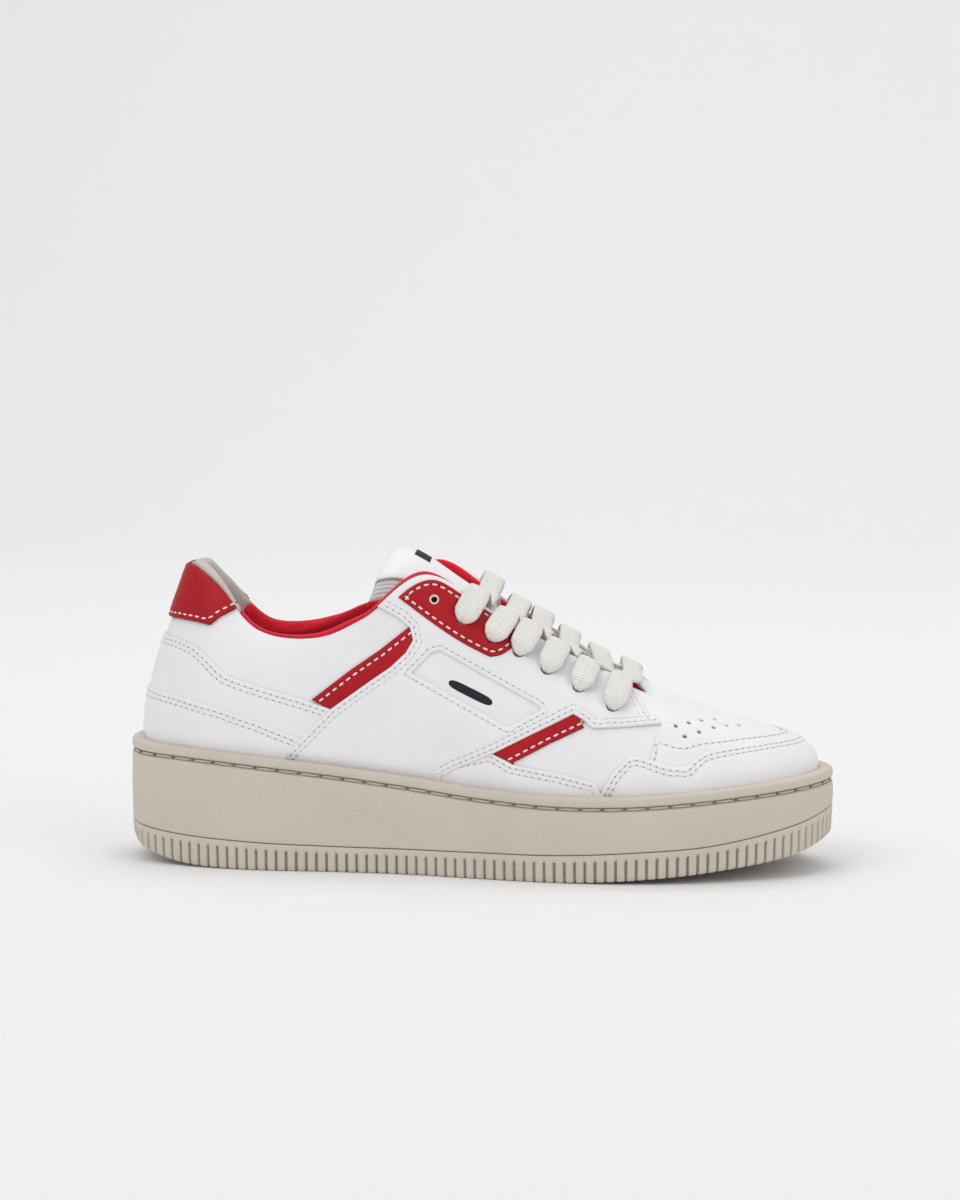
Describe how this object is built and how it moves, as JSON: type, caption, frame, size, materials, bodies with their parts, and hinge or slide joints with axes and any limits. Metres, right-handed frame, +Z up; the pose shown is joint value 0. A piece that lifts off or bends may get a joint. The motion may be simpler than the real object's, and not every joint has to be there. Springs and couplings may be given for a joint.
{
  "type": "low-top lace-up shoe",
  "caption": "Low-cut leather lace-up shoe for the right foot, with overlaid panels, a padded collar and tongue, and a thick stitched cupped rubber sole.",
  "frame": {"origin": "middle of the underside of the shoe's bounding box, on the ground", "axes": "+X towards the toe, +Z up, -Y towards the outer (lateral) side of the right foot"},
  "size_m": [0.28, 0.1002, 0.1226],
  "materials": {
    "sole_rubber": "matt beige moulded rubber",
    "sole_thread": "waxed beige-brown thread",
    "white_foam": "off-white foam",
    "fibre_board": "stiff tan fibre board",
    "crimson_mesh": "bright red spacer mesh",
    "white_leather": "smooth white leather, soft shine",
    "grey_suede": "light grey brushed lining",
    "red_leather": "smooth red leather",
    "eyelet_ring": "pale satin",
    "grey_mesh": "pale grey padded mesh",
    "lace_cord": "flat off-white woven lace"
  },
  "bodies": {
    "shoe": {"outsole_tread": "sole_rubber", "cup_sole": "sole_rubber", "sole_stitching": "sole_thread", "cushion_wedge": "white_foam", "insole_board": "fibre_board", "footbed": "crimson_mesh", "vamp": "white_leather", "quarter_lateral": "white_leather", "quarter_medial": "white_leather", "quarter_lining_lateral": "crimson_mesh", "quarter_lining_medial": "crimson_mesh", "heel_lining": "grey_suede", "vamp_lining": "crimson_mesh", "toe_puff": "fibre_board", "heel_counter": "fibre_board", "collar_foam": "white_foam", "saddle_lateral": "white_leather", "saddle_medial": "white_leather", "side_window_lateral": "white_leather", "side_window_medial": "white_leather", "rear_stripe_lateral": "red_leather", "rear_stripe_medial": "red_leather", "front_stripe_lateral": "red_leather", "front_stripe_medial": "red_leather", "side_panel_lateral": "white_leather", "side_panel_medial": "white_leather", "eyelet_patch_lateral": "red_leather", "eyelet_patch_medial": "red_leather", "top_eyelet_lateral": "eyelet_ring", "top_eyelet_medial": "eyelet_ring", "heel_overlay": "white_leather", "heel_foxing": "white_leather", "heel_tab": "red_leather", "toe_guard": "white_leather", "toe_band": "white_leather", "collar_binding_lateral": "crimson_mesh", "collar_binding_medial": "crimson_mesh", "heel_binding": "grey_suede", "lace": "lace_cord", "lace_tip_lateral": "eyelet_ring", "lace_tip_medial": "eyelet_ring"},
    "tongue": {"tongue_cover": "grey_mesh", "tongue_foam": "white_foam", "tongue_lining": "crimson_mesh", "tongue_label": "white_leather"}
  },
  "joints": [
    {"name": "tongue_hinge", "type": "hinge", "parent": "shoe", "child": "tongue", "pos_m": [0.066, 0, 0.061], "axis": [0, -1, 0], "range_deg": [0, 8]}
  ]
}
